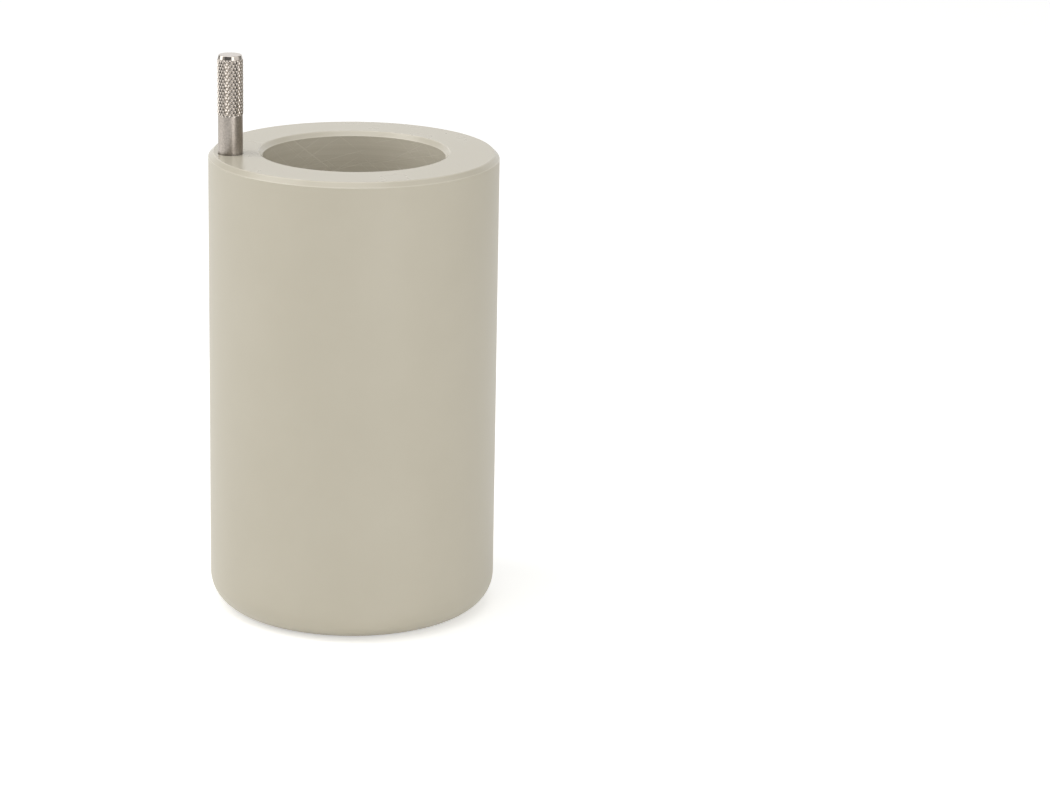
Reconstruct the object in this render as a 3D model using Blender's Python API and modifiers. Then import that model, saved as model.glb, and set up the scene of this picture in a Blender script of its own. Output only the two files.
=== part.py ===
"""Centrifuge tube adapter: a turned plastic body with a round-bottomed tube well and a knurled steel lift pin.

The body drops into the cavity of a fixed-angle rotor and narrows it to a smaller tube.
The pin is what a gripping tool, or two fingers, hold to draw the adapter out again.
Frame: metres, +Z up along the body's axis, origin at the centre of the base, pin on the -X side.
"""

import math

import bmesh
import bpy

# Driving dimensions of the body
TUBE_WELL_DIAMETER = 0.0389
TUBE_WELL_DEPTH = 0.0920
WALL_THICKNESS = 0.01155
FLOOR_THICKNESS = 0.0085
FOOT_ROUND = 0.0068
RIM_CHAMFER_WIDTH = 0.0011
RIM_CHAMFER_DROP = 0.0011
MOUTH_CHAMFER = 0.0010

# Driving dimensions of the lift pin
PIN_DIAMETER = 0.00527
PIN_SET_DEPTH = 0.0120
PIN_SHANK_LENGTH = 0.0083
PIN_LEAD_CHAMFER = 0.0005
PIN_END_CHAMFER_LENGTH = 0.0008
PIN_END_CHAMFER_WIDTH = 0.0002
PIN_TO_BODY_SIDE = 0.0020

# Diamond knurl of the pin's grip
KNURL_LENGTH = 0.0121
KNURL_RISE = 0.00015
KNURL_DEPTH = 0.00023
KNURL_STARTS = 23
KNURL_HELIX = math.radians(30.0)

# Fit of the pin in its drilled hole
PIN_CLEARANCE = 0.0003
DRILL_POINT = math.radians(118.0)

# Roundness of the turned surfaces
BODY_STEPS = 96
SEAT_STEPS = 14
FOOT_STEPS = 6
MERGE_DISTANCE = 0.00001

SHARP_ANGLE = math.radians(30.0)

# Looks of the raw pieces; the colours are linear
BODY_COLOUR = (0.565, 0.525, 0.425, 1.0)
BODY_ROUGHNESS = 0.5
PIN_COLOUR = (0.560, 0.540, 0.515, 1.0)
PIN_ROUGHNESS = 0.32

# Sizes that follow from the driving ones
WELL_RADIUS = TUBE_WELL_DIAMETER / 2
BODY_RADIUS = WELL_RADIUS + WALL_THICKNESS
BODY_HEIGHT = TUBE_WELL_DEPTH + FLOOR_THICKNESS
PIN_RADIUS = PIN_DIAMETER / 2
PIN_CENTRE_X = -(BODY_RADIUS - PIN_TO_BODY_SIDE - PIN_RADIUS)
KNURL_CREST_RADIUS = PIN_RADIUS + KNURL_RISE
KNURL_GROOVE_RADIUS = KNURL_CREST_RADIUS - KNURL_DEPTH
KNURL_COLUMNS = 2 * KNURL_STARTS


def clear_scene():
    """Remove the objects of whatever file the script is run in."""
    for obj in list(bpy.data.objects):
        bpy.data.objects.remove(obj, do_unlink=True)


def new_collection(name):
    """Add a collection under the scene's own one."""
    collection = bpy.data.collections.new(name)
    bpy.context.scene.collection.children.link(collection)
    return collection


def principled(name, colour, roughness, metallic):
    """A plain Principled material."""
    material = bpy.data.materials.new(name)
    material.use_nodes = True
    shader = material.node_tree.nodes["Principled BSDF"]
    shader.inputs["Base Color"].default_value = colour
    shader.inputs["Roughness"].default_value = roughness
    shader.inputs["Metallic"].default_value = metallic
    return material


def quarter_arc(centre, radius, start_angle, steps):
    """Points of a quarter circle, turning anticlockwise in the XZ plane from start_angle."""
    points = []
    for step in range(steps + 1):
        angle = start_angle + step / steps * math.pi / 2
        points.append((centre[0] + radius * math.cos(angle), centre[1] + radius * math.sin(angle)))
    return points


def turned(name, profile, steps, collection):
    """Spin an open XZ profile, which starts and ends on the axis, into a closed turned solid."""
    mesh = bpy.data.meshes.new(name)
    vertices = [(x, 0.0, z) for x, z in profile]
    edges = [(index, index + 1) for index in range(len(vertices) - 1)]
    mesh.from_pydata(vertices, edges, [])
    obj = bpy.data.objects.new(name, mesh)
    collection.objects.link(obj)
    screw = obj.modifiers.new("Turn", "SCREW")
    screw.axis = "Z"
    screw.angle = 2 * math.pi
    screw.steps = steps
    screw.render_steps = steps
    screw.use_merge_vertices = True
    screw.merge_threshold = MERGE_DISTANCE
    return obj


def body_profile():
    """Section of the body: up the well from the seat, out over the rim, down the side and in under the foot."""
    seat = quarter_arc((0.0, FLOOR_THICKNESS + WELL_RADIUS), WELL_RADIUS, -math.pi / 2, SEAT_STEPS)
    rim = [
        (WELL_RADIUS, BODY_HEIGHT - MOUTH_CHAMFER),
        (WELL_RADIUS + MOUTH_CHAMFER, BODY_HEIGHT),
        (BODY_RADIUS - RIM_CHAMFER_WIDTH, BODY_HEIGHT),
        (BODY_RADIUS, BODY_HEIGHT - RIM_CHAMFER_DROP),
    ]
    foot = quarter_arc((BODY_RADIUS - FOOT_ROUND, FOOT_ROUND), FOOT_ROUND, -math.pi / 2, FOOT_STEPS)
    seat[0] = (0.0, FLOOR_THICKNESS)
    return seat + rim + foot[::-1] + [(0.0, 0.0)]


def pin_hole_profile():
    """Section of the drilled blind hole, measured from the body's top face, with its drill point."""
    radius = PIN_RADIUS + PIN_CLEARANCE
    depth = PIN_SET_DEPTH + PIN_CLEARANCE
    point_length = radius / math.tan(DRILL_POINT / 2)
    above = radius
    return [(0.0, above), (radius, above), (radius, -depth), (0.0, -depth - point_length)]


def knurl_rows():
    """Number of half diamonds along the grip, from the helix angle and the crest circle's pitch."""
    diamond_width = 2 * math.pi * KNURL_CREST_RADIUS / KNURL_STARTS
    half_length = diamond_width / math.tan(KNURL_HELIX) / 2
    return max(4, round(KNURL_LENGTH / half_length))


def pin_profile():
    """Section of the pin from its outer end down, measured from the body's top face.

    The grip has one ring of points for each half diamond; they all lie on the blank's own radius here.
    """
    top = PIN_SHANK_LENGTH + KNURL_LENGTH + PIN_END_CHAMFER_LENGTH
    rows = knurl_rows()
    grip = [
        (PIN_RADIUS, PIN_SHANK_LENGTH + KNURL_LENGTH * row / rows)
        for row in range(rows, -1, -1)
    ]
    end = [(0.0, top), (PIN_RADIUS - PIN_END_CHAMFER_WIDTH, top)]
    foot = [
        (PIN_RADIUS, PIN_LEAD_CHAMFER - PIN_SET_DEPTH),
        (PIN_RADIUS - PIN_LEAD_CHAMFER, -PIN_SET_DEPTH),
        (0.0, -PIN_SET_DEPTH),
    ]
    return end + grip + foot


def press_knurl(mesh):
    """Press the diamonds into the grip: crests and groove crossings alternate over the grid of points.

    Each four-sided face of the grid is split between its two groove crossings, so that the
    folds run along the two families of helical grooves and every crest is a four-sided point.
    """
    rows = knurl_rows()
    row_height = KNURL_LENGTH / rows
    column_angle = 2 * math.pi / KNURL_COLUMNS
    grid = bmesh.new()
    grid.from_mesh(mesh)
    crossings = set()
    pressed = set()
    for vertex in grid.verts:
        row = round((vertex.co.z - PIN_SHANK_LENGTH) / row_height)
        radius = math.hypot(vertex.co.x, vertex.co.y)
        if not 0 < row < rows or radius < PIN_RADIUS / 2:
            continue
        angle = math.atan2(vertex.co.y, vertex.co.x)
        column = round(angle / column_angle)
        is_crossing = (row + column) % 2 == 0
        new_radius = KNURL_GROOVE_RADIUS if is_crossing else KNURL_CREST_RADIUS
        vertex.co.x = new_radius * math.cos(angle)
        vertex.co.y = new_radius * math.sin(angle)
        pressed.add(vertex)
        if is_crossing:
            crossings.add(vertex)
    for face in list(grid.faces):
        corners = [vertex for vertex in face.verts if vertex in crossings]
        if len(face.verts) == 4 and len(corners) == 2:
            bmesh.utils.face_split(face, corners[0], corners[1])
    unsplit = [face for face in grid.faces if len(face.verts) == 4 and pressed & set(face.verts)]
    bmesh.ops.triangulate(grid, faces=unsplit)
    grid.to_mesh(mesh)
    grid.free()


def as_plain_mesh(obj):
    """Replace an object's modifiers by the mesh that they make."""
    evaluated = obj.evaluated_get(bpy.context.evaluated_depsgraph_get())
    mesh = bpy.data.meshes.new_from_object(evaluated)
    obj.modifiers.clear()
    obj.data = mesh


def shade_turned(mesh):
    """Smooth the round stretches and keep the turned edges sharp."""
    mesh.shade_smooth()
    mesh.set_sharp_from_angle(angle=SHARP_ANGLE)


def make_body(parts, cutters):
    """The adapter's body, turned from one bar, with the pin's hole drilled in its top face."""
    body = turned("adapter_body", body_profile(), BODY_STEPS, parts)
    drill = turned("pin_hole_cutter", pin_hole_profile(), KNURL_COLUMNS, cutters)
    drill.location = (PIN_CENTRE_X, 0.0, BODY_HEIGHT)
    drill.hide_render = True
    drill.display_type = "WIRE"
    hole = body.modifiers.new("Pin hole", "BOOLEAN")
    hole.operation = "DIFFERENCE"
    hole.solver = "EXACT"
    hole.object = drill
    bpy.context.view_layer.update()
    as_plain_mesh(body)
    shade_turned(body.data)
    body.data.materials.append(principled("turned_polypropylene", BODY_COLOUR, BODY_ROUGHNESS, 0.0))
    return body


def make_pin(parts):
    """The lift pin: a ground steel shank, pressed into the body, under a knurled grip with a chamfered end."""
    pin = turned("lift_pin", pin_profile(), KNURL_COLUMNS, parts)
    bpy.context.view_layer.update()
    as_plain_mesh(pin)
    press_knurl(pin.data)
    shade_turned(pin.data)
    pin.location = (PIN_CENTRE_X, 0.0, BODY_HEIGHT)
    pin.data.materials.append(principled("ground_stainless_steel", PIN_COLOUR, PIN_ROUGHNESS, 1.0))
    return pin


def main():
    """Build the adapter in an empty scene."""
    clear_scene()
    parts = new_collection("centrifuge_tube_adapter")
    cutters = new_collection("cutters")
    base = bpy.data.objects.new("adapter_origin", None)
    base.empty_display_size = BODY_RADIUS
    parts.objects.link(base)
    for piece in (make_body(parts, cutters), make_pin(parts)):
        piece.parent = base


main()
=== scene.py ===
"""A centrifuge tube adapter: a turned plastic body with a knurled steel lift pin, in a plain studio."""

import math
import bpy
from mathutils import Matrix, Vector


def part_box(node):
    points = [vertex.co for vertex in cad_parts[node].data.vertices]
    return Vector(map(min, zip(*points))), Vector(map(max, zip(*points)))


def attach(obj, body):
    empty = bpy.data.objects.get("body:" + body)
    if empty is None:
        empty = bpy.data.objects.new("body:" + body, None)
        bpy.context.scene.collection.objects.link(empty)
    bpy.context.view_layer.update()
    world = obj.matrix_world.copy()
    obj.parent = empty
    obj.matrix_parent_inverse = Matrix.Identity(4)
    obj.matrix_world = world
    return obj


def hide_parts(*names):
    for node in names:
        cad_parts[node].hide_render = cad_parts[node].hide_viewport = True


bl_info = {
    "name": "Centrifuge Tube Adapter",
    "version": (1, 0, 0),
    "blender": (4, 5, 0),
    "location": "3D View > Sidebar > Adapter",
    "description": "Makes a turned plastic tube adapter with its knurled lift pin, and a studio for it",
    "category": "Add Mesh",
}

import bpy
from mathutils import Matrix, Vector

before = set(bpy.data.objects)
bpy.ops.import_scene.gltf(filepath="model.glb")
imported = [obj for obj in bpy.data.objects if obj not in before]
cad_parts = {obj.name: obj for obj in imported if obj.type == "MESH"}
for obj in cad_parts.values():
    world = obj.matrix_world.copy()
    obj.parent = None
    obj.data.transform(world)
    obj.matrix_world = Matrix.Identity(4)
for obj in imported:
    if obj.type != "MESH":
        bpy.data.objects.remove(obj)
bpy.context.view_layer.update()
BODY_LOW, BODY_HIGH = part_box("adapter_body")
PIN_LOW, PIN_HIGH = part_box("lift_pin")

MM = 0.001
FULL_TURN = 2 * math.pi

# Places and sizes that the CAD parts give
BODY_RADIUS = BODY_HIGH.x
BODY_HEIGHT = BODY_HIGH.z
PIN_CENTRE_X = (PIN_LOW.x + PIN_HIGH.x) / 2
PIN_LENGTH_SHOWN = PIN_HIGH.z - BODY_HEIGHT
PIN_SET_DEPTH = BODY_HEIGHT - PIN_LOW.z

# Fineness of the turned meshes
BODY_STEPS = 256
SEAT_STEPS = 48
FOOT_STEPS = 14
CORNER_STEPS = 4
KNURL_DIVISIONS = 6
SHARP_ANGLE = math.radians(30)

# Refractive index of polypropylene
PLASTIC_IOR = 1.49

# Strength of the glow that brings the lit paper close to white
PAPER_GLOW = 0.45

# Straight stretches that each curved cloth is made of
CLOTH_STEPS = 16


def linear(hex_colour):
    """Turn an sRGB hex colour such as "c8c2b0" to linear red, green, blue and full alpha."""
    channels = []
    for start in (0, 2, 4):
        value = int(hex_colour[start : start + 2], 16) / 255
        channels.append(value / 12.92 if value <= 0.04045 else ((value + 0.055) / 1.055) ** 2.4)
    return (*channels, 1.0)


def colour_property(name, hex_colour, description):
    """A colour that a user can change, with its sRGB default."""
    return bpy.props.FloatVectorProperty(
        name=name,
        description=description,
        subtype="COLOR",
        size=4,
        min=0.0,
        max=1.0,
        default=linear(hex_colour),
    )


def length_property(name, millimetres, description):
    """A length that a user can change, with its default in millimetres."""
    return bpy.props.FloatProperty(
        name=name,
        description=description,
        subtype="DISTANCE",
        unit="LENGTH",
        precision=5,
        default=millimetres * MM,
    )


def angle_property(name, degrees, description):
    """An angle that a user can change, with its default in degrees."""
    return bpy.props.FloatProperty(
        name=name, description=description, subtype="ANGLE", default=math.radians(degrees)
    )


def power_property(name, watts, description):
    """The power of a lamp that a user can change, in watts."""
    return bpy.props.FloatProperty(
        name=name, description=description, subtype="POWER", min=0.0, default=watts
    )


class AdapterBodySettings(bpy.types.PropertyGroup):
    """Sizes and colours of the turned body."""

    well_diameter: length_property("Well Diameter", 38.9, "Bore that takes the tube")
    floor_thickness: length_property("Floor", 8.5, "Plastic under the well's round seat")
    mouth_chamfer: length_property("Mouth Chamfer", 1.0, "Chamfer round the well's mouth")
    rim_chamfer_width: length_property("Rim Chamfer Width", 1.1, "Radial width of the outer chamfer")
    rim_chamfer_drop: length_property("Rim Chamfer Drop", 1.1, "Height of the outer chamfer")
    foot_round: length_property("Foot Round", 6.8, "Radius where the side meets the base")
    edge_break: length_property("Edge Break", 0.14, "Radius that handling leaves on each turned edge")
    plastic: colour_property("Plastic", "c6bfad", "Warm grey-beige of the bar")
    # The pale colour shows rubs and scratches, and also paints highlights on the chamfers, sheen on the top
    # face and light on the well wall
    pale_plastic_and_highlight: colour_property("Pale Plastic And Highlight", "e2dccd", "Paler plastic, rubbed or scratched")


class LiftPinSettings(bpy.types.PropertyGroup):
    """Sizes and colours of the lift pin and its knurl."""

    diameter: length_property("Diameter", 5.27, "Ground part of the pin")
    shank_length: length_property("Shank Length", 8.3, "Plain length above the body's face")
    end_chamfer_length: length_property("End Chamfer Length", 0.8, "Length of the end's chamfer")
    end_chamfer_width: length_property("End Chamfer Width", 0.2, "Radial width of the end's chamfer")
    lead_chamfer: length_property("Lead Chamfer", 0.5, "Chamfer on the end that sits in the body")
    edge_break: length_property("Edge Break", 0.1, "Radius on the edges of the outer end")
    hole_clearance: length_property("Hole Clearance", 0.05, "Gap round the pin in its hole")
    hole_countersink: length_property("Hole Countersink", 0.03, "Small chamfer at the hole's mouth")
    knurl_rise: length_property("Knurl Rise", 0.14, "How far the crests stand above the shank")
    knurl_depth: length_property("Knurl Depth", 0.23, "Height of a crest above the grooves")
    run_out: length_property("Run-Out", 0.3, "Length over which the knurl fades at its ends")
    starts: bpy.props.IntProperty(
        name="Starts", description="Diamonds counted round the pin", default=23, min=8, max=60
    )
    helix: angle_property("Helix", 30, "Angle of the grooves to the pin's axis")
    steel: colour_property("Steel", "cac1b8", "Ground stainless steel")
    # Darker steel colour: the knurl's grooves take it as painted shade, and the ground steel takes it for
    # its speckle and as painted shade at the pin's foot
    speckle_and_shade_steel: colour_property("Speckle And Shade Steel", "857f78", "Steel at the bottom of the grooves")


class StudioSettings(bpy.types.PropertyGroup):
    """Light, floor and camera."""

    lens: bpy.props.FloatProperty(
        name="Lens",
        description="Focal length on a 36 mm frame, in millimetres",
        subtype="DISTANCE_CAMERA",
        default=122.72,
    )
    distance: length_property("Distance", 746.9, "Camera to the body's axis, along the floor")
    height: length_property("Height", 265.0, "Camera above the floor")
    azimuth: angle_property("Azimuth", -7.55, "Turn of the camera round the body")
    pan: angle_property("Pan", 2.865, "Turn of the camera to the right of the body's axis")
    tilt: angle_property("Tilt", 16.272, "Downward angle of the camera")
    roll: angle_property("Roll", 1.077, "Roll of the camera")
    ambient: bpy.props.FloatProperty(
        name="Ambient", description="Strength of the even light from all round", default=0.49, min=0.0
    )
    left_power: power_property("Left Power", 3.45, "Tall box on the left, whose streak the pin shows")
    right_power: power_property("Right Power", 0.39, "Small near box at the front, on the right")
    top_power: power_property("Top Power", 1.4, "Box above, which lights the chamfers and the well")
    paper: colour_property("Paper", "f6f6f4", "Pale paper that the adapter stands on")
    cloth: colour_property("Cloth", "868688", "Grey cloth at the front, and low down on the right")
    side_cloth: colour_property("Side Cloth", "d0d0ce", "Paler cloth on both sides")


def add_node(tree, kind, links=None, **settings):
    """Add a node with its settings; links feeds its inputs, by name or number, a value or a socket."""
    node = tree.nodes.new(kind)
    for name, value in settings.items():
        setattr(node, name, value)
    for key, value in (links or {}).items():
        if isinstance(value, bpy.types.NodeSocket):
            tree.links.new(value, node.inputs[key])
        else:
            node.inputs[key].default_value = value
    return node


# Shapes


def arc(centre, radius, start, end, steps):
    """Points of an arc in the XZ plane, from one angle to another."""
    points = []
    for step in range(steps + 1):
        angle = start + (end - start) * step / steps
        points.append((centre[0] + radius * math.cos(angle), centre[1] + radius * math.sin(angle)))
    return points


def broken_corner(before, corner, after, radius):
    """Round one corner of a section; a point on each side keeps the flats' shading flat."""
    before, corner, after = Vector(before), Vector(corner), Vector(after)
    back = (before - corner).normalized()
    ahead = (after - corner).normalized()
    half = back.angle(ahead) / 2
    reach = radius / math.tan(half)
    middle = corner + (back + ahead).normalized() * (radius / math.sin(half))
    start = corner + back * reach - middle
    end = corner + ahead * reach - middle
    first = math.atan2(start.y, start.x)
    sweep = math.remainder(math.atan2(end.y, end.x) - first, FULL_TURN)
    guard = reach + radius / 2
    round_part = arc(middle, radius, first, first + sweep, CORNER_STEPS)
    return [tuple(corner + back * guard), *round_part, tuple(corner + ahead * guard)]


def section_with_broken_corners(points, radius):
    """Round every corner of an open section but its two end points."""
    section = [points[0]]
    for before, corner, after in zip(points, points[1:], points[2:]):
        section += broken_corner(before, corner, after, radius)
    return section + [points[-1]]


def turned(name, section, steps):
    """Spin an open XZ section, which starts and ends on the axis, about Z."""
    mesh = bpy.data.meshes.new(name)
    vertices = [(x, 0.0, z) for x, z in section]
    edges = [(index, index + 1) for index in range(len(vertices) - 1)]
    mesh.from_pydata(vertices, edges, [])
    piece = bpy.data.objects.new(name, mesh)
    bpy.context.scene.collection.objects.link(piece)
    screw = piece.modifiers.new("Turn", "SCREW")
    screw.axis = "Z"
    screw.steps = steps
    screw.render_steps = steps
    screw.use_merge_vertices = True
    screw.merge_threshold = 0.000005
    return piece


def freeze(piece):
    """Turn a piece's modifiers into a plain mesh, shaded smooth up to its turned edges."""
    bpy.context.view_layer.update()
    evaluated = piece.evaluated_get(bpy.context.evaluated_depsgraph_get())
    mesh = bpy.data.meshes.new_from_object(evaluated)
    if not mesh.polygons:
        raise RuntimeError(f"{piece.name} came out without faces")
    piece.modifiers.clear()
    piece.data = mesh
    mesh.shade_smooth()
    mesh.set_sharp_from_angle(angle=SHARP_ANGLE)


def stand_for(piece, node):
    """Let a finished piece ride on the adapter in place of a CAD node."""
    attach(piece, "root")
    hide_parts(node)


def body_section(size):
    """Section of the body: up the well from its seat, over the rim, down the side and under the foot."""
    well_radius = size.well_diameter / 2
    seat_centre = (0.0, size.floor_thickness + well_radius)
    seat = arc(seat_centre, well_radius, -math.pi / 2, 0.0, SEAT_STEPS)
    seat[0] = (0.0, size.floor_thickness)
    rim = [
        seat[-1],
        (well_radius, BODY_HEIGHT - size.mouth_chamfer),
        (well_radius + size.mouth_chamfer, BODY_HEIGHT),
        (BODY_RADIUS - size.rim_chamfer_width, BODY_HEIGHT),
        (BODY_RADIUS, BODY_HEIGHT - size.rim_chamfer_drop),
        (BODY_RADIUS, size.foot_round),
    ]
    foot_centre = (BODY_RADIUS - size.foot_round, size.foot_round)
    foot = arc(foot_centre, size.foot_round, 0.0, -math.pi / 2, FOOT_STEPS)
    return seat[:-1] + section_with_broken_corners(rim, size.edge_break) + foot[1:] + [(0.0, 0.0)]


def pin_hole_section(size):
    """Section of the drill that makes the pin's hole, measured from the body's top face."""
    radius = size.diameter / 2 + size.hole_clearance
    wide = radius + 2 * size.hole_countersink
    above = size.hole_countersink
    depth = PIN_SET_DEPTH + size.hole_clearance
    start = (radius, -size.hole_countersink)
    return [(0.0, above), (wide, above), start, (radius, -depth), (0.0, -depth)]


def pin_section(size, ring_spacing):
    """Section of the pin's blank from its outer end down, with rings of points for the knurl.

    The point just below them keeps the knurl out of the plain shank's shading.
    """
    radius = size.diameter / 2
    grip_top = PIN_LENGTH_SHOWN - size.end_chamfer_length
    rings = math.floor((grip_top - size.shank_length) / ring_spacing)
    end = [
        (0.0, PIN_LENGTH_SHOWN),
        (radius - size.end_chamfer_width, PIN_LENGTH_SHOWN),
        (radius, grip_top),
        (radius, size.shank_length),
    ]
    grip = [(radius, size.shank_length + ring_spacing * ring) for ring in range(rings - 1, -1, -1)]
    foot = [
        (radius, size.shank_length - 2 * ring_spacing),
        (radius, size.lead_chamfer - PIN_SET_DEPTH),
        (radius - size.lead_chamfer, -PIN_SET_DEPTH),
        (0.0, -PIN_SET_DEPTH),
    ]
    return section_with_broken_corners(end, size.edge_break)[:-1] + grip + foot


def knurl_tree():
    """Geometry Nodes that press a diamond knurl into a turned blank about Z.

    Two families of helical grooves cross. Each point's height between them is the lower of two
    zigzag waves, cut off at a crest height that differs a little from diamond to diamond.
    """
    tree = bpy.data.node_groups.new("diamond_knurl", "GeometryNodeTree")
    tree.interface.new_socket("Blank", in_out="INPUT", socket_type="NodeSocketGeometry")
    lengths = ("Grip Start", "Grip End", "Diamond Length", "Rise", "Depth", "Run-Out")
    for name in (*lengths, "Crest", "Spread"):
        tree.interface.new_socket(name, in_out="INPUT", socket_type="NodeSocketFloat")
    for name in ("Starts", "Seed"):
        tree.interface.new_socket(name, in_out="INPUT", socket_type="NodeSocketInt")
    for name in ("Ground Steel", "Knurled Steel", "Turned Steel"):
        tree.interface.new_socket(name, in_out="INPUT", socket_type="NodeSocketMaterial")
    tree.interface.new_socket("Pin", in_out="OUTPUT", socket_type="NodeSocketGeometry")
    given = add_node(tree, "NodeGroupInput").outputs
    place = add_node(tree, "GeometryNodeInputPosition").outputs[0]
    along = add_node(tree, "ShaderNodeSeparateXYZ", {0: place}).outputs

    # Places on the unrolled pin, counted in diamonds round it and along it
    angle = add_node(tree, "ShaderNodeMath", {0: along[1], 1: along[0]}, operation="ARCTAN2").outputs[0]
    turn = add_node(tree, "ShaderNodeMath", {0: angle, 1: FULL_TURN}, operation="DIVIDE").outputs[0]
    across = add_node(
        tree, "ShaderNodeMath", {0: turn, 1: given["Starts"]}, operation="MULTIPLY"
    ).outputs[0]
    above = add_node(
        tree, "ShaderNodeMath", {0: along[2], 1: given["Grip Start"]}, operation="SUBTRACT"
    ).outputs[0]
    below = add_node(
        tree, "ShaderNodeMath", {0: given["Grip End"], 1: along[2]}, operation="SUBTRACT"
    ).outputs[0]
    up = add_node(
        tree, "ShaderNodeMath", {0: above, 1: given["Diamond Length"]}, operation="DIVIDE"
    ).outputs[0]
    families = []
    cells = []
    for operation in ("ADD", "SUBTRACT"):
        family = add_node(tree, "ShaderNodeMath", {0: across, 1: up}, operation=operation).outputs[0]
        wave = add_node(tree, "ShaderNodeMath", {0: family, 1: 0.5}, operation="PINGPONG").outputs[0]
        whole = add_node(tree, "ShaderNodeMath", {0: family}, operation="FLOOR").outputs[0]
        cell = add_node(
            tree, "ShaderNodeMath", {0: whole, 1: given["Starts"]}, operation="FLOORED_MODULO"
        )
        families.append(wave)
        cells.append(cell.outputs[0])
    low = add_node(
        tree, "ShaderNodeMath", {0: families[0], 1: families[1]}, operation="MINIMUM"
    ).outputs[0]
    peak = add_node(tree, "ShaderNodeMath", {0: low, 1: 2.0}, operation="MULTIPLY").outputs[0]

    # Crest height of each diamond
    row = add_node(
        tree, "ShaderNodeMath", {0: cells[0], 1: given["Starts"], 2: cells[1]}, operation="MULTIPLY_ADD"
    )
    lowest = add_node(
        tree, "ShaderNodeMath", {0: given["Crest"], 1: given["Spread"]}, operation="SUBTRACT"
    ).outputs[0]
    crest = add_node(
        tree,
        "FunctionNodeRandomValue",
        {2: lowest, 3: given["Crest"], "ID": row.outputs[0], "Seed": given["Seed"]},
    ).outputs[1]
    height = add_node(
        tree, "ShaderNodeMath", {0: peak, 1: crest, 2: 0.12}, operation="SMOOTH_MIN"
    ).outputs[0]

    # The knurl fades into the blank at both of its ends
    end = add_node(tree, "ShaderNodeMath", {0: above, 1: below}, operation="MINIMUM").outputs[0]
    fade = add_node(
        tree,
        "ShaderNodeMapRange",
        {"Value": end, "From Min": 0.0, "From Max": given["Run-Out"]},
        interpolation_type="SMOOTHSTEP",
    ).outputs[0]
    groove = add_node(
        tree, "ShaderNodeMath", {0: given["Rise"], 1: given["Depth"]}, operation="SUBTRACT"
    ).outputs[0]
    lift = add_node(
        tree, "ShaderNodeMath", {0: height, 1: given["Depth"], 2: groove}, operation="MULTIPLY_ADD"
    )
    push = add_node(
        tree, "ShaderNodeMath", {0: lift.outputs[0], 1: fade}, operation="MULTIPLY"
    ).outputs[0]
    flat = add_node(
        tree, "ShaderNodeVectorMath", {0: place, 1: (1, 1, 0)}, operation="MULTIPLY"
    ).outputs[0]
    outward = add_node(tree, "ShaderNodeVectorMath", {0: flat}, operation="NORMALIZE").outputs[0]
    offset = add_node(
        tree, "ShaderNodeVectorMath", {0: outward, "Scale": push}, operation="SCALE"
    ).outputs[0]
    pressed = add_node(tree, "GeometryNodeSetPosition", {"Geometry": given["Blank"], "Offset": offset})

    in_grip = add_node(
        tree, "FunctionNodeCompare", {0: end, 1: 0.0}, operation="GREATER_THAN"
    ).outputs[0]
    at_end = add_node(tree, "FunctionNodeCompare", {0: below, 1: 0.0}, operation="LESS_THAN").outputs[0]
    real = add_node(tree, "GeometryNodeRealizeInstances", {"Geometry": pressed.outputs[0]}).outputs[0]
    ground = add_node(
        tree, "GeometryNodeSetMaterial", {"Geometry": real, "Material": given["Ground Steel"]}
    )
    knurled = add_node(
        tree,
        "GeometryNodeSetMaterial",
        {"Geometry": ground.outputs[0], "Selection": in_grip, "Material": given["Knurled Steel"]},
    )
    turned_end = add_node(
        tree,
        "GeometryNodeSetMaterial",
        {"Geometry": knurled.outputs[0], "Selection": at_end, "Material": given["Turned Steel"]},
    )
    add_node(tree, "NodeGroupOutput", {0: turned_end.outputs[0]})
    return tree


def press_knurl(piece, values):
    """Give a turned blank the knurl modifier, with its inputs set by their sockets' identifiers."""
    modifier = piece.modifiers.new("Knurl", "NODES")
    modifier.node_group = knurl_tree()
    for item in modifier.node_group.interface.items_tree:
        if item.in_out == "INPUT" and item.name in values:
            modifier[item.identifier] = values[item.name]


# Materials


def polypropylene(name):
    """An empty polypropylene material: its tree, its shader and the places that its patterns follow."""
    material = bpy.data.materials.new(name)
    material.use_nodes = True
    tree = material.node_tree
    place = add_node(tree, "ShaderNodeTexCoord").outputs["Object"]
    flat = add_node(
        tree, "ShaderNodeVectorMath", {0: place, 1: (1, 1, 0)}, operation="MULTIPLY"
    ).outputs[0]
    parts = add_node(tree, "ShaderNodeSeparateXYZ", {0: place}).outputs
    places = {
        "place": place,
        "radius": add_node(
            tree, "ShaderNodeVectorMath", {0: flat}, operation="LENGTH"
        ).outputs["Value"],
        "height": parts[2],
        "angle": add_node(
            tree, "ShaderNodeMath", {0: parts[1], 1: parts[0]}, operation="ARCTAN2"
        ).outputs[0],
    }
    return material, tree, places


def tool_rings(tree, across, spacing):
    """Uneven rings that a tool leaves as it feeds along the given coordinate."""
    place = add_node(
        tree, "ShaderNodeMath", {0: across, 1: 1 / spacing}, operation="MULTIPLY"
    ).outputs[0]
    return add_node(
        tree,
        "ShaderNodeTexNoise",
        {"W": place, "Scale": 1.0, "Detail": 3.0, "Roughness": 0.6},
        noise_dimensions="1D",
    ).outputs["Fac"]


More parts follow.
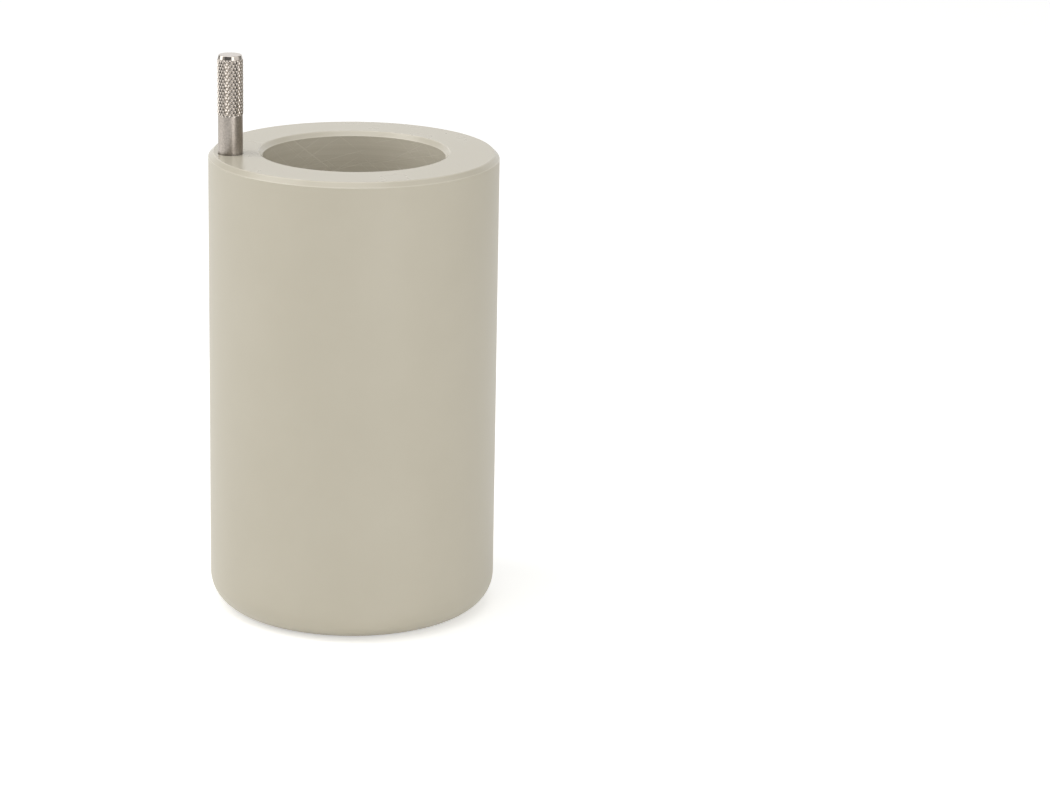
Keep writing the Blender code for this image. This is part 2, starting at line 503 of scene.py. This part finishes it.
def hairlines(tree, places, wall_radius, slope, sparseness):
    """Straight hairline scratches on the well's wall, which lean from the axis by the slope."""
    round_wall = add_node(
        tree, "ShaderNodeMath", {0: places["angle"], 1: wall_radius}, operation="MULTIPLY"
    )
    sheet = add_node(
        tree, "ShaderNodeCombineXYZ", {0: round_wall.outputs[0], 1: places["height"]}
    ).outputs[0]
    leaning = add_node(
        tree,
        "ShaderNodeMapping",
        {"Vector": sheet, "Rotation": (0, 0, slope), "Scale": (0.3 * MM, 26 * MM, 1)},
        vector_type="TEXTURE",
    ).outputs[0]
    streaks = add_node(
        tree,
        "ShaderNodeTexNoise",
        {"Vector": leaning, "Scale": 1.0, "Detail": 1.0, "Roughness": 0.4},
        noise_dimensions="2D",
    ).outputs["Fac"]
    return add_node(
        tree,
        "ShaderNodeMapRange",
        {"Value": streaks, "From Min": sparseness, "From Max": sparseness + 0.05},
    ).outputs[0]


def chatter(tree, places, marks):
    """Fine radial ticks that a shaking tool leaves on a chamfer, on stretches of about 17 mm only."""
    turns = add_node(
        tree, "ShaderNodeMath", {0: places["angle"], 1: float(marks)}, operation="MULTIPLY"
    ).outputs[0]
    wave = add_node(tree, "ShaderNodeMath", {0: turns}, operation="SINE").outputs[0]
    where = add_node(
        tree,
        "ShaderNodeTexNoise",
        {"Vector": places["place"], "Scale": 60.0, "Detail": 1.0},
    ).outputs["Fac"]
    strength = add_node(
        tree, "ShaderNodeMapRange", {"Value": where, "From Min": 0.52, "From Max": 0.66}
    ).outputs[0]
    return add_node(tree, "ShaderNodeMath", {0: wave, 1: strength}, operation="MULTIPLY").outputs[0]


def finish_plastic(material, settings, places, height, depth, roughness, pale):
    """Join a plastic finish to its shader: colour, satin gloss and a bump.

    The colour and the gloss are cloudy, in patches about 18 mm across; the colour is paler by the given
    amount, which carries rubbing, scratches and rings, and also painted highlights, painted sheen and
    painted light.
    """
    tree = material.node_tree
    shader = tree.nodes["Principled BSDF"]
    cloud = add_node(
        tree,
        "ShaderNodeTexNoise",
        {"Vector": places["place"], "Scale": 55.0, "Detail": 4.0, "Roughness": 0.55},
    ).outputs["Fac"]
    cloudy = add_node(
        tree, "ShaderNodeMapRange", {"Value": cloud, "From Min": 0.35, "From Max": 0.75, "To Max": 0.12}
    ).outputs[0]
    paleness = add_node(
        tree, "ShaderNodeMath", {0: cloudy, 1: pale}, operation="ADD", use_clamp=True
    ).outputs[0]
    colour = add_node(
        tree,
        "ShaderNodeMix",
        {0: paleness, 6: settings.plastic, 7: settings.pale_plastic_and_highlight},
        data_type="RGBA",
    ).outputs[2]
    gloss = add_node(
        tree,
        "ShaderNodeMapRange",
        {
            "Value": cloud,
            "From Min": 0.3,
            "From Max": 0.7,
            "To Min": roughness - 0.04,
            "To Max": roughness + 0.04,
        },
    ).outputs[0]
    bump = add_node(
        tree, "ShaderNodeBump", {"Height": height, "Distance": depth, "Strength": 1.0}
    ).outputs[0]
    tree.links.new(colour, shader.inputs["Base Color"])
    tree.links.new(gloss, shader.inputs["Roughness"])
    tree.links.new(bump, shader.inputs["Normal"])
    shader.inputs["IOR"].default_value = PLASTIC_IOR
    return material


def turned_side(settings):
    """Polypropylene turned along its side: a smooth satin, which fine feed rings soften.

    The real feed is about 0.1 mm; the rings are drawn 0.7 mm apart, because finer ones can't show.
    """
    material, tree, places = polypropylene("turned_polypropylene")
    rings = tool_rings(tree, places["height"], 0.7 * MM)
    return finish_plastic(material, settings, places, rings, 0.004 * MM, 0.42, 0.0)


def faced_end(settings):
    """Polypropylene faced across its end: concentric rings, a little glossier than the side.

    The real feed is about 0.1 mm; the rings are drawn 0.5 mm apart, because finer ones can't show.
    """
    material, tree, places = polypropylene("faced_polypropylene")
    rings = tool_rings(tree, places["radius"], 0.5 * MM)
    # Painted sheen: the whole face is mixed 5 % of the way to the pale colour, so it shows paler and cooler
    # than the side
    return finish_plastic(material, settings, places, rings, 0.004 * MM, 0.28, 0.05)


def bored_well(settings):
    """Polypropylene bored out: rings down the wall, crossed by pale hairlines that tubes have left.

    The real feed is about 0.1 mm; the rings are drawn 0.9 mm apart, because finer ones can't show.
    """
    material, tree, places = polypropylene("bored_polypropylene")
    rings = tool_rings(tree, places["height"], 0.9 * MM)
    wall_radius = settings.well_diameter / 2
    scratches = 0.0
    for degrees, sparseness in ((62, 0.69), (-52, 0.69), (76, 0.7)):
        family = hairlines(tree, places, wall_radius, math.radians(degrees), sparseness)
        scratches = add_node(
            tree, "ShaderNodeMath", {0: family, 1: scratches}, operation="MAXIMUM"
        ).outputs[0]
    cut = add_node(
        tree, "ShaderNodeMath", {0: scratches, 1: -2.0, 2: rings}, operation="MULTIPLY_ADD"
    ).outputs[0]
    # Partly painted light: the wall is paler along its rings, their own tone, and paler all over, a lift
    # that stands in for light in the well
    ring_tone_and_painted_light = add_node(
        tree, "ShaderNodeMath", {0: rings, 1: 0.8, 2: -0.1}, operation="MULTIPLY_ADD"
    ).outputs[0]
    pale = add_node(
        tree, "ShaderNodeMath", {0: scratches, 1: 0.36, 2: ring_tone_and_painted_light}, operation="MULTIPLY_ADD"
    ).outputs[0]
    return finish_plastic(material, settings, places, cut, 0.012 * MM, 0.38, pale)


def chamfered_edge(settings):
    """Polypropylene chamfered by hand feed: pale lines along the corners, painted highlights together with
    rubbing, a mouth painted paler as a highlight, and chatter ticks at the mouth.
    """
    material, tree, places = polypropylene("chamfered_polypropylene")
    inner = settings.well_diameter / 2
    at_mouth = add_node(
        tree,
        "ShaderNodeMath",
        {0: places["radius"], 1: inner + 2 * settings.mouth_chamfer},
        operation="LESS_THAN",
    ).outputs[0]
    shake = chatter(tree, places, 260)
    ticks = add_node(tree, "ShaderNodeMath", {0: shake, 1: at_mouth}, operation="MULTIPLY").outputs[0]
    corners = (
        inner,
        inner + settings.mouth_chamfer,
        BODY_RADIUS - settings.rim_chamfer_width,
        BODY_RADIUS,
    )
    # Painted highlights, together with rubbing: the colour is paler within 0.16 mm of each of the four
    # corners
    pale = 0.0
    for corner in corners:
        away = add_node(
            tree, "ShaderNodeMath", {0: places["radius"], 1: corner, 2: 0.16 * MM}, operation="COMPARE"
        ).outputs[0]
        pale = add_node(tree, "ShaderNodeMath", {0: away, 1: pale}, operation="MAXIMUM").outputs[0]
    # Painted highlight: the whole mouth chamfer is made paler, and the sum below carries it with the corner
    # highlights
    mouth_highlight = add_node(tree, "ShaderNodeMath", {0: at_mouth, 1: 0.3}, operation="MULTIPLY").outputs[0]
    rubbed = add_node(
        tree, "ShaderNodeMath", {0: pale, 1: 0.35, 2: mouth_highlight}, operation="MULTIPLY_ADD"
    ).outputs[0]
    return finish_plastic(material, settings, places, ticks, 0.005 * MM, 0.24, rubbed)


def stainless_steel(name, settings):
    """A stainless steel material with only its metal set, and the places round the pin's axis."""
    material = bpy.data.materials.new(name)
    material.use_nodes = True
    tree = material.node_tree
    shader = tree.nodes["Principled BSDF"]
    shader.inputs["Metallic"].default_value = 1.0
    shader.inputs["Base Color"].default_value = settings.steel
    here = add_node(tree, "ShaderNodeTexCoord").outputs["Object"]
    centred = add_node(
        tree, "ShaderNodeMapping", {"Vector": here, "Location": (-PIN_CENTRE_X, 0, -BODY_HEIGHT)}
    )
    return material, tree, shader, centred.outputs[0]


def ground_steel(settings):
    """Stainless steel ground round its axis: soft bands of light along the pin, and a fine speckle.

    The grinding lines are a few hundredths of a millimetre apart, and the speckle is as fine; they are
    drawn 0.12 and 0.4 mm across to show. Painted shade darkens the pin just above the hole, where it meets
    the body.
    """
    material, tree, shader, place = stainless_steel("ground_stainless_steel", settings)
    height = add_node(tree, "ShaderNodeSeparateXYZ", {0: place}).outputs[2]
    lines = tool_rings(tree, height, 0.12 * MM)
    speckle = add_node(
        tree, "ShaderNodeTexNoise", {"Vector": place, "Scale": 2600.0, "Detail": 2.0, "Roughness": 0.7}
    ).outputs["Fac"]
    # Painted shade where the pin meets the body: the colour darkens over the pin's lowest 0.7 mm
    contact_shade = add_node(
        tree,
        "ShaderNodeMapRange",
        {"Value": height, "From Max": 0.7 * MM, "To Min": 0.4, "To Max": 0.0},
    ).outputs[0]
    speckle_and_contact_shade = add_node(
        tree, "ShaderNodeMath", {0: speckle, 1: 0.9, 2: contact_shade}, operation="MULTIPLY_ADD"
    ).outputs[0]
    speckle_and_shade_mix = add_node(
        tree, "ShaderNodeMapRange", {"Value": speckle_and_contact_shade, "From Min": 0.08, "From Max": 0.95}
    ).outputs[0]
    colour = add_node(
        tree,
        "ShaderNodeMix",
        {0: speckle_and_shade_mix, 6: settings.steel, 7: settings.speckle_and_shade_steel},
        data_type="RGBA",
    ).outputs[2]
    tree.links.new(colour, shader.inputs["Base Color"])
    rough = add_node(
        tree,
        "ShaderNodeMapRange",
        {"Value": lines, "From Min": 0.3, "From Max": 0.7, "To Min": 0.33, "To Max": 0.41},
    ).outputs[0]
    around = add_node(tree, "ShaderNodeTangent", direction_type="RADIAL", axis="Z").outputs[0]
    tree.links.new(around, shader.inputs["Tangent"])
    shader.inputs["Anisotropic"].default_value = 0.35
    shader.inputs["Anisotropic Rotation"].default_value = 0.25
    bump = add_node(
        tree, "ShaderNodeBump", {"Height": lines, "Distance": 0.002 * MM, "Strength": 1.0}
    ).outputs[0]
    tree.links.new(rough, shader.inputs["Roughness"])
    tree.links.new(bump, shader.inputs["Normal"])
    return material


def turned_steel(settings):
    """Stainless steel turned at the pin's end: brighter than the ground part, with fine rings.

    The real feed is about 0.05 mm; the rings are drawn 0.15 mm apart to show.
    """
    material, tree, shader, place = stainless_steel("turned_stainless_steel", settings)
    flat = add_node(
        tree, "ShaderNodeVectorMath", {0: place, 1: (1, 1, 0)}, operation="MULTIPLY"
    ).outputs[0]
    radius = add_node(tree, "ShaderNodeVectorMath", {0: flat}, operation="LENGTH").outputs["Value"]
    rings = tool_rings(tree, radius, 0.15 * MM)
    rough = add_node(
        tree,
        "ShaderNodeMapRange",
        {"Value": rings, "From Min": 0.3, "From Max": 0.7, "To Min": 0.14, "To Max": 0.22},
    ).outputs[0]
    bump = add_node(
        tree, "ShaderNodeBump", {"Height": rings, "Distance": 0.002 * MM, "Strength": 1.0}
    ).outputs[0]
    tree.links.new(rough, shader.inputs["Roughness"])
    tree.links.new(bump, shader.inputs["Normal"])
    return material


def knurled_steel(settings):
    """Stainless steel pressed by knurling wheels: bright, rubbed crests over painted shade in the grooves.

    The painted shade, a darker steel colour, thins in patches about 1 mm across.
    """
    material, tree, shader, place = stainless_steel("knurled_stainless_steel", settings)
    flat = add_node(
        tree, "ShaderNodeVectorMath", {0: place, 1: (1, 1, 0)}, operation="MULTIPLY"
    ).outputs[0]
    radius = add_node(tree, "ShaderNodeVectorMath", {0: flat}, operation="LENGTH").outputs["Value"]
    crest = settings.diameter / 2 + settings.knurl_rise
    # Painted shade: the colour goes over to the darker steel towards the bottom of the grooves, where the
    # shade falls
    crest_mask = add_node(
        tree,
        "ShaderNodeMapRange",
        {
            "Value": radius,
            "From Min": crest - settings.knurl_depth,
            "From Max": crest - 0.6 * settings.knurl_depth,
        },
    ).outputs[0]
    patch = add_node(
        tree, "ShaderNodeTexNoise", {"Vector": place, "Scale": 900.0, "Detail": 3.0}
    ).outputs["Fac"]
    uneven = add_node(
        tree, "ShaderNodeMath", {0: patch, 1: 0.3, 2: crest_mask}, operation="MULTIPLY_ADD", use_clamp=True
    )
    colour = add_node(
        tree,
        "ShaderNodeMix",
        {0: uneven.outputs[0], 6: settings.speckle_and_shade_steel, 7: settings.steel},
        data_type="RGBA",
    ).outputs[2]
    rough = add_node(
        tree, "ShaderNodeMapRange", {"Value": crest_mask, "To Min": 0.34, "To Max": 0.11}
    ).outputs[0]
    tree.links.new(colour, shader.inputs["Base Color"])
    tree.links.new(rough, shader.inputs["Roughness"])
    return material


def paper_floor(settings):
    """Matt white paper with fibres about 1 mm long; a glow lifts it where the camera or a gloss sees it."""
    material = bpy.data.materials.new("matt_paper")
    material.use_nodes = True
    tree = material.node_tree
    shader = tree.nodes["Principled BSDF"]
    grain = add_node(tree, "ShaderNodeTexCoord").outputs["Object"]
    fibres = add_node(
        tree, "ShaderNodeTexNoise", {"Vector": grain, "Scale": 900.0, "Detail": 2.0}
    ).outputs["Fac"]
    rough = add_node(
        tree, "ShaderNodeMapRange", {"Value": fibres, "To Min": 0.85, "To Max": 1.0}
    ).outputs[0]
    tree.links.new(rough, shader.inputs["Roughness"])
    shader.inputs["Base Color"].default_value = settings.paper
    shader.inputs["Specular IOR Level"].default_value = 0.1
    glow = add_node(
        tree, "ShaderNodeMath", {0: seen_directly(tree), 1: PAPER_GLOW}, operation="MULTIPLY"
    ).outputs[0]
    shader.inputs["Emission Color"].default_value = (1.0, 1.0, 1.0, 1.0)
    tree.links.new(glow, shader.inputs["Emission Strength"])
    return material


# Studio


def seen_directly(tree):
    """A socket that is 1 for the rays of the camera, of gloss and of transmission."""
    rays = add_node(tree, "ShaderNodeLightPath").outputs
    seen = rays["Is Camera Ray"]
    for name in ("Is Glossy Ray", "Is Transmission Ray"):
        seen = add_node(
            tree, "ShaderNodeMath", {0: seen, 1: rays[name]}, operation="MAXIMUM"
        ).outputs[0]
    return seen


def make_world(settings):
    """Even light from all round, in front of a white background."""
    world = bpy.data.worlds.new("studio")
    world.use_nodes = True
    bpy.context.scene.world = world
    tree = world.node_tree
    ambient = tree.nodes["Background"]
    ambient.inputs["Color"].default_value = (1.0, 1.0, 1.0, 1.0)
    ambient.inputs["Strength"].default_value = settings.ambient
    white = add_node(tree, "ShaderNodeBackground", {"Color": (1.0, 1.0, 1.0, 1.0), "Strength": 1.0})
    mixed = add_node(
        tree,
        "ShaderNodeMixShader",
        {0: seen_directly(tree), 1: ambient.outputs[0], 2: white.outputs[0]},
    )
    tree.links.new(mixed.outputs[0], tree.nodes["World Output"].inputs["Surface"])


def spot_on(azimuth, elevation, distance):
    """A point round the adapter's middle, and its direction; azimuth 0 is in front and 90 on the right."""
    a, e = math.radians(azimuth), math.radians(elevation)
    direction = Vector((math.sin(a) * math.cos(e), -math.cos(a) * math.cos(e), math.sin(e)))
    return Vector((0.0, 0.0, BODY_HEIGHT / 2)) + direction * distance, direction


def add_softbox(name, azimuth, elevation, distance, size, power):
    """Add a rectangular area lamp that faces the adapter; size is its width and height."""
    lamp = bpy.data.lights.new(name, "AREA")
    lamp.shape = "RECTANGLE"
    lamp.size, lamp.size_y = size
    lamp.energy = power
    box = bpy.data.objects.new(name, lamp)
    bpy.context.scene.collection.objects.link(box)
    box.location, direction = spot_on(azimuth, elevation, distance)
    box.rotation_euler = direction.to_track_quat("Z", "Y").to_euler()


def hang_cloth(name, start, end, radius, height, colour):
    """Hang a curved cloth between two azimuths, in degrees; it shows only in what is glossy."""
    points = []
    faces = []
    for step in range(CLOTH_STEPS + 1):
        azimuth = math.radians(start + (end - start) * step / CLOTH_STEPS)
        x, y = radius * math.sin(azimuth), -radius * math.cos(azimuth)
        points += [(x, y, 0.0), (x, y, height)]
        if step:
            low = 2 * step
            faces.append((low - 2, low, low + 1, low - 1))
    mesh = bpy.data.meshes.new(name)
    mesh.from_pydata(points, [], faces)
    cloth = bpy.data.objects.new(name, mesh)
    bpy.context.scene.collection.objects.link(cloth)
    material = bpy.data.materials.new(name + "_cotton")
    material.use_nodes = True
    shader = material.node_tree.nodes["Principled BSDF"]
    shader.inputs["Base Color"].default_value = colour
    shader.inputs["Roughness"].default_value = 0.9
    mesh.materials.append(material)
    cloth.visible_camera = False
    cloth.visible_diffuse = False
    cloth.visible_shadow = False


def add_camera(settings):
    """Add the camera at the photograph's viewing angle."""
    lens = bpy.data.cameras.new("camera")
    lens.lens = settings.lens
    lens.sensor_width = 36.0
    camera = bpy.data.objects.new("camera", lens)
    bpy.context.scene.collection.objects.link(camera)
    azimuth = settings.azimuth
    spot = Vector((math.sin(azimuth), -math.cos(azimuth), 0.0)) * settings.distance
    spot.z = settings.height
    facing = Matrix.Rotation(azimuth - settings.pan, 4, "Z")
    tilted = Matrix.Rotation(math.pi / 2 - settings.tilt, 4, "X")
    rolled = Matrix.Rotation(settings.roll, 4, "Z")
    camera.matrix_world = Matrix.Translation(spot) @ facing @ tilted @ rolled
    bpy.context.scene.camera = camera


# Operators


class ADAPTER_OT_make_body(bpy.types.Operator):
    """Make the turned plastic body, with the pin's hole in its top face"""

    bl_idname = "adapter.make_body"
    bl_label = "Make Body"

    def execute(self, context):
        size = context.scene.adapter_body
        body = turned("turned_body", body_section(size), BODY_STEPS)
        drill = turned("pin_drill", pin_hole_section(context.scene.adapter_pin), 96)
        drill.location = (PIN_CENTRE_X, 0.0, BODY_HEIGHT)
        hole = body.modifiers.new("Pin hole", "BOOLEAN")
        hole.operation = "DIFFERENCE"
        hole.solver = "EXACT"
        hole.object = drill
        freeze(body)
        bpy.data.objects.remove(drill)
        self.dress(body, size)
        stand_for(body, "adapter_body")
        return {"FINISHED"}

    @staticmethod
    def dress(body, size):
        """Give each stretch of the body the finish that its tool left."""
        for finish in (turned_side, faced_end, bored_well, chamfered_edge):
            body.data.materials.append(finish(size))
        side, end, well, chamfer = range(4)
        mouth = size.well_diameter / 2 + 0.02 * MM
        for face in body.data.polygons:
            radius = math.hypot(face.center.x, face.center.y)
            steepness = abs(face.normal.z)
            if radius < mouth and face.center.z > size.floor_thickness / 2:
                face.material_index = well
            elif steepness > 0.98:
                face.material_index = end
            elif steepness > 0.02 and face.center.z > BODY_HEIGHT / 2:
                face.material_index = chamfer
            else:
                face.material_index = side


class ADAPTER_OT_make_pin(bpy.types.Operator):
    """Make the steel lift pin and press its diamond knurl"""

    bl_idname = "adapter.make_pin"
    bl_label = "Make Lift Pin"

    def execute(self, context):
        size = context.scene.adapter_pin
        grip_end = PIN_LENGTH_SHOWN - size.end_chamfer_length
        crest_circle = math.pi * (size.diameter + 2 * size.knurl_rise)
        diamond_length = crest_circle / size.starts / math.tan(size.helix)
        section = pin_section(size, diamond_length / (2 * KNURL_DIVISIONS))
        pin = turned("knurled_pin", section, 2 * size.starts * KNURL_DIVISIONS)
        values = {
            "Grip Start": size.shank_length,
            "Grip End": grip_end,
            "Diamond Length": diamond_length,
            "Rise": size.knurl_rise,
            "Depth": size.knurl_depth,
            "Run-Out": size.run_out,
            "Crest": 0.95,
            "Spread": 0.15,
            "Starts": size.starts,
            "Seed": 5,
            "Ground Steel": ground_steel(size),
            "Knurled Steel": knurled_steel(size),
            "Turned Steel": turned_steel(size),
        }
        press_knurl(pin, values)
        freeze(pin)
        pin.data.transform(Matrix.Translation((PIN_CENTRE_X, 0.0, BODY_HEIGHT)))
        stand_for(pin, "lift_pin")
        return {"FINISHED"}


class ADAPTER_OT_make_studio(bpy.types.Operator):
    """Make the paper floor, the lights, the cloths, the white surround and the camera"""

    bl_idname = "adapter.make_studio"
    bl_label = "Make Studio"

    def execute(self, context):
        settings = context.scene.adapter_studio
        bpy.ops.mesh.primitive_plane_add(size=12.0, location=(0.0, 0.0, 0.0))
        floor = context.object
        floor.name = "paper_floor"
        floor.data.materials.append(paper_floor(settings))
        make_world(settings)
        add_softbox("left_box", -99, 37, 0.9, (0.5, 1.05), settings.left_power)
        add_softbox("right_box", 18, 14, 0.45, (0.19, 0.31), settings.right_power)
        add_softbox("top_box", -14, 71, 0.9, (0.55, 0.6), settings.top_power)
        hang_cloth("left_cloth", -152, -60, 1.3, 1.4, settings.side_cloth)
        hang_cloth("front_cloth", -60, 38, 1.3, 1.4, settings.cloth)
        hang_cloth("right_cloth", 84, 128, 1.3, 1.4, settings.side_cloth)
        hang_cloth("low_cloth", 38, 128, 0.5, 0.15, settings.cloth)
        add_camera(settings)
        context.scene.view_settings.view_transform = "Standard"
        return {"FINISHED"}


class ADAPTER_PT_sidebar(bpy.types.Panel):
    """Lists the adapter's pieces and their sizes"""

    bl_idname = "ADAPTER_PT_sidebar"
    bl_label = "Centrifuge Tube Adapter"
    bl_space_type = "VIEW_3D"
    bl_region_type = "UI"
    bl_category = "Adapter"

    def draw(self, context):
        for group, operator in (
            (context.scene.adapter_body, "adapter.make_body"),
            (context.scene.adapter_pin, "adapter.make_pin"),
            (context.scene.adapter_studio, "adapter.make_studio"),
        ):
            box = self.layout.box()
            for name in group.__annotations__:
                box.prop(group, name)
            box.operator(operator)


CLASSES = (
    AdapterBodySettings,
    LiftPinSettings,
    StudioSettings,
    ADAPTER_OT_make_body,
    ADAPTER_OT_make_pin,
    ADAPTER_OT_make_studio,
    ADAPTER_PT_sidebar,
)


def register():
    """Register the classes and give each scene their settings."""
    for cls in CLASSES:
        bpy.utils.register_class(cls)
    bpy.types.Scene.adapter_body = bpy.props.PointerProperty(type=AdapterBodySettings)
    bpy.types.Scene.adapter_pin = bpy.props.PointerProperty(type=LiftPinSettings)
    bpy.types.Scene.adapter_studio = bpy.props.PointerProperty(type=StudioSettings)


def unregister():
    """Take away what register added."""
    del bpy.types.Scene.adapter_studio
    del bpy.types.Scene.adapter_pin
    del bpy.types.Scene.adapter_body
    for cls in reversed(CLASSES):
        bpy.utils.unregister_class(cls)


def main():
    """Make every piece and the studio."""
    register()
    bpy.ops.adapter.make_body()
    bpy.ops.adapter.make_pin()
    bpy.ops.adapter.make_studio()


if __name__ == "__main__":
    main()
